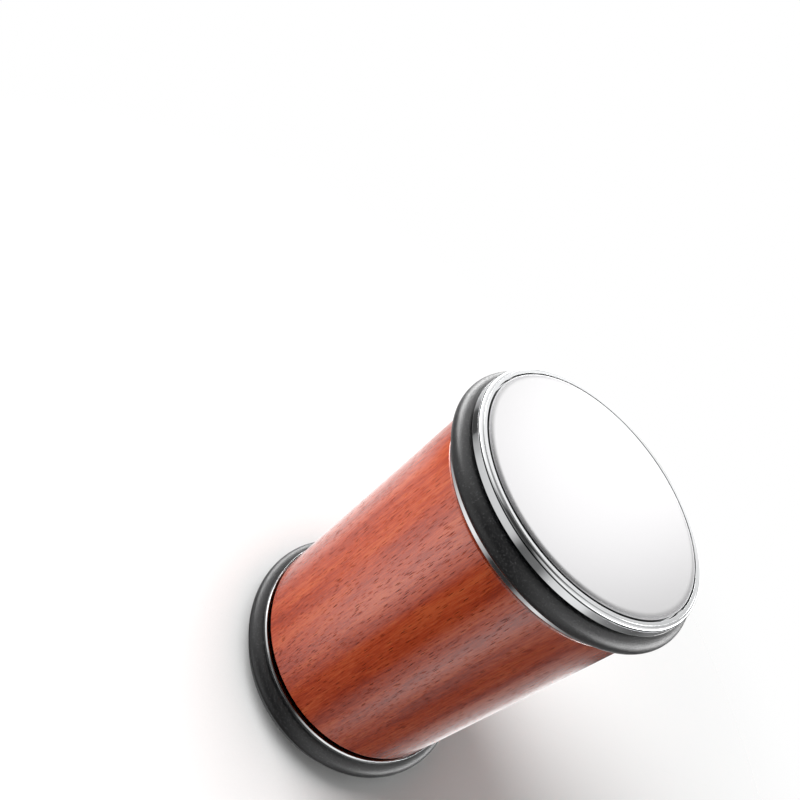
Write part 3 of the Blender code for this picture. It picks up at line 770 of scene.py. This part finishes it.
def insidePanel(tree, direction, panel):
    # 1 within an oval round the panel's middle and 0 outside: the offsets to the side and up are counted in
    # half sizes, and their length fades it out near 1
    azimuth = math.radians(panel["azimuth"])
    elevation = math.radians(panel["elevation"])
    eastward, northward = math.cos(azimuth), math.sin(azimuth)
    outward, rise = math.cos(elevation), math.sin(elevation)
    middle = (eastward * outward, northward * outward, rise)
    sideways = (-northward, eastward, 0)
    upwards = (-rise * eastward, -rise * northward, outward)
    offsets = []
    for axis, half in ((sideways, panel["halfWidth"]), (upwards, panel["halfHeight"])):
        perHalf = np.array(axis) / math.sin(math.radians(half))
        offset = addNode(tree, "ShaderNodeVectorMath", dotProduct, _0=direction, _1=perHalf)
        offsets.append(offset.outputs["Value"])
    both = addNode(tree, "ShaderNodeCombineXYZ", X=offsets[0], Y=offsets[1])
    length = addNode(tree, "ShaderNodeVectorMath", vectorLength, _0=both.outputs[0])
    inside = addNode(tree, "ShaderNodeMapRange", softStep, Value=length.outputs["Value"],
                     _1=1 + panel["softness"], _2=1 - panel["softness"])
    ahead = addNode(tree, "ShaderNodeVectorMath", dotProduct, _0=direction, _1=middle)
    thisSide = addNode(tree, "ShaderNodeMath", isAbove, _0=ahead.outputs["Value"], _1=0.0)
    return addNode(tree, "ShaderNodeMath", times, _0=inside.outputs[0], _1=thisSide.outputs[0]).outputs[0]


def makeWorld():
    # white behind the object, an even fill for matt surfaces, and for mirrors a ring of soft panels with gaps
    world = bpy.data.worlds.new("studio")
    bpy.context.scene.world = world
    world.use_nodes = True
    world.cycles.sampling_method = "NONE"
    tree = world.node_tree
    tree.nodes.clear()
    direction = addNode(tree, "ShaderNodeTexCoord").outputs["Generated"]
    compass = addNode(tree, "ShaderNodeTexGradient", {"gradient_type": "RADIAL"}, Vector=direction)
    height = addNode(tree, "ShaderNodeSeparateXYZ", Vector=direction).outputs["Z"]
    deep, low, high, fill = [
        rampOf(tree, studio[name], compass.outputs["Fac"])
        for name in ("deepRamp", "lowRamp", "highRamp", "fillRamp")
    ]
    mirrored = blend(tree, height, studio["nadirToDeep"], studio["nadirLevel"], deep)
    mirrored = blend(tree, height, studio["deepToLow"], mirrored, low)
    mirrored = blend(tree, height, studio["lowToHigh"], mirrored, high)
    mirrored = blend(tree, height, studio["highToZenith"], mirrored, studio["zenithLevel"])
    for panel in studio["panels"]:
        inside = insidePanel(tree, direction, panel)
        covered = addNode(tree, "ShaderNodeMix", mixNumbers, _0=inside, _2=mirrored, _3=panel["level"])
        mirrored = covered.outputs[0]
    even = blend(tree, height, studio["fillToZenith"], fill, studio["zenithFill"])
    rays = addNode(tree, "ShaderNodeLightPath")
    lighting = addNode(tree, "ShaderNodeMix", mixNumbers, _0=rays.outputs["Is Diffuse Ray"], _2=mirrored,
                       _3=even)
    level = addNode(tree, "ShaderNodeMix", mixNumbers, _0=rays.outputs["Is Camera Ray"],
                    _2=lighting.outputs[0], _3=1.0)
    light = addNode(tree, "ShaderNodeBackground", Color=(1, 1, 1, 1), Strength=level.outputs[0])
    addNode(tree, "ShaderNodeOutputWorld", Surface=light.outputs[0])


def makeFloor():
    # pale matt floor that keeps the object's shadow, deepened close to the object; whatever mirrors sees the
    # panels through it
    mesh = bpy.data.meshes.new("floor")
    corners = np.array([(-1, -1, 0), (1, -1, 0), (1, 1, 0), (-1, 1, 0)]) * studio["floorHalfSize"] * mm
    corners[:, 2] = -studio["floorDrop"] * mm
    mesh.from_pydata(corners.tolist(), [], [(0, 1, 2, 3)])
    floor = bpy.data.objects.new("floor", mesh)
    bpy.context.scene.collection.objects.link(floor)
    material, tree = newMaterial("paleFloor")
    white = toLinear(studio["floorColour"])
    matt = addNode(tree, "ShaderNodeBsdfDiffuse", Color=white)
    nearness = addNode(tree, "ShaderNodeAmbientOcclusion", {"samples": studio["shadowSamples"]},
                       Distance=studio["shadowReach"] * mm)
    openness = addNode(tree, "ShaderNodeMath", {"operation": "POWER"}, _0=nearness.outputs["AO"],
                       _1=studio["shadowDepth"])
    shaded = addNode(tree, "ShaderNodeMix", mixColours, _0=openness.outputs[0], _6=(0, 0, 0, 1), _7=white)
    shadedMatt = addNode(tree, "ShaderNodeBsdfDiffuse", Color=shaded.outputs[2])
    glow = addNode(tree, "ShaderNodeEmission", Color=shaded.outputs[2], Strength=studio["floorGlow"])
    lit = addNode(tree, "ShaderNodeAddShader", _0=shadedMatt.outputs[0], _1=glow.outputs[0])
    spot = addNode(tree, "ShaderNodeTexCoord").outputs["Object"]
    radius = addNode(tree, "ShaderNodeVectorMath", vectorLength, _0=spot)
    near, far = studio["floorReach"]
    fade = addNode(tree, "ShaderNodeMapRange", softStep, Value=radius.outputs["Value"], _1=near * mm,
                   _2=far * mm)
    through = addNode(tree, "ShaderNodeBsdfTransparent")
    faded = addNode(tree, "ShaderNodeMixShader", _0=fade.outputs[0], _1=lit.outputs[0],
                    _2=through.outputs[0])
    rays = addNode(tree, "ShaderNodeLightPath")
    seen = addNode(tree, "ShaderNodeMixShader", _0=rays.outputs["Is Camera Ray"], _1=matt.outputs[0],
                   _2=faded.outputs[0])
    surface = addNode(tree, "ShaderNodeMixShader", _0=rays.outputs["Is Glossy Ray"], _1=seen.outputs[0],
                      _2=through.outputs[0])
    finishMaterial(tree, surface.outputs[0])
    mesh.materials.append(material)


key = {"azimuth": -169, "elevation": 43, "distance": 550, "size": 420, "watts": 4.3, "colour": "FEFEFF"}


def makeKey():
    # one large soft box, aimed at the middle of the object; only the panels show in the mirrors
    azimuth = math.radians(key["azimuth"])
    elevation = math.radians(key["elevation"])
    middle = np.array([0, 0, overallLength / 2])
    outward = math.cos(elevation)
    toLight = np.array([math.cos(azimuth) * outward, math.sin(azimuth) * outward, math.sin(elevation)])
    light = bpy.data.lights.new("keySoftbox", "AREA")
    light.shape = "DISK"
    light.size = key["size"] * mm
    light.energy = key["watts"]
    light.color = toLinear(key["colour"])[:3]
    lamp = bpy.data.objects.new("keySoftbox", light)
    bpy.context.scene.collection.objects.link(lamp)
    lamp.location = ((middle + toLight * key["distance"]) * mm).tolist()
    lamp.rotation_euler = (math.pi / 2 - elevation, 0, azimuth + math.pi / 2)
    lamp.visible_glossy = False


makeWorld()
makeFloor()
makeKey()

# the camera's place and turn were fitted to the outlines of the discs, tyres and barrel in the photograph
view = {
    "place": (0.0, -136.08, 169.49),
    "turn": (42.43825, -34.79012, 48.04055),
    "lens": 36.468,
    "sensor": 36.0,
    "nearest": 5.0,
}

camera = bpy.data.objects.new("camera", bpy.data.cameras.new("camera"))
bpy.context.scene.collection.objects.link(camera)
camera.location = [length * mm for length in view["place"]]
camera.rotation_euler = [math.radians(angle) for angle in view["turn"]]
camera.data.lens = view["lens"]
camera.data.sensor_width = view["sensor"]
camera.data.clip_start = view["nearest"] * mm
bpy.context.scene.camera = camera
bpy.context.scene.view_settings.view_transform = "Standard"
print("studio and camera set")
